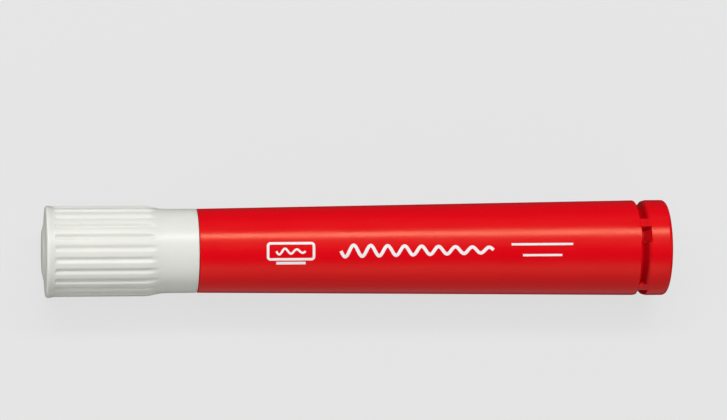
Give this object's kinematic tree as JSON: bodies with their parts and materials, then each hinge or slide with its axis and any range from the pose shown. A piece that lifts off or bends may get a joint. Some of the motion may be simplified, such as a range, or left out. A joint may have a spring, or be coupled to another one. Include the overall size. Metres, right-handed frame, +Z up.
{
  "type": "whiteboard marker",
  "caption": "Refillable bullet-nib whiteboard marker with a tapered red barrel, a ribbed white push-on cap and a pull-out tail plug.",
  "frame": {"origin": "bottom centre of the marker's box, on the surface it lies on, halfway along its length", "axes": "+X along the marker from the cap end to the tail end, +Z up, the marker lying on its side"},
  "size_m": [0.138, 0.021, 0.0211],
  "materials": {
    "cap_plastic": "off-white injection-moulded polypropylene, satin",
    "natural_plastic": "uncoloured milky polypropylene, satin",
    "barrel_plastic": "red injection-moulded polypropylene, glossy",
    "nib_fibre": "bonded fibre soaked in red ink, matt",
    "reservoir_film": "thin clear film tinted by the ink behind it",
    "reservoir_fibre": "bundled fibre soaked in red ink, matt",
    "seal_rubber": "black rubber, matt",
    "printed_mark": "opaque white pad-printed ink, semi-matt"
  },
  "bodies": {
    "barrel": {"barrel": "barrel_plastic", "nib_holder": "natural_plastic", "nib": "nib_fibre", "reservoir_wrap": "reservoir_film", "reservoir_fibre": "reservoir_fibre"},
    "cap_liner": {"cap_inner_seal": "natural_plastic"},
    "cap": {"cap_shell": "cap_plastic"},
    "tail_plug": {"tail_plug": "barrel_plastic", "tail_seal_ring": "seal_rubber"}
  },
  "joints": [
    {"name": "cap_pull", "type": "slide", "parent": "barrel", "child": "cap_liner", "axis": [-1, 0, 0], "range_m": [0, 0.04]},
    {"name": "cap_turn", "type": "hinge", "parent": "cap_liner", "child": "cap", "pos_m": [-0.052, 0, 0.01055], "axis": [1, 0, 0], "continuous": true},
    {"name": "tail_plug_pull", "type": "slide", "parent": "barrel", "child": "tail_plug", "axis": [1, 0, 0], "range_m": [0, 0.02]}
  ]
}
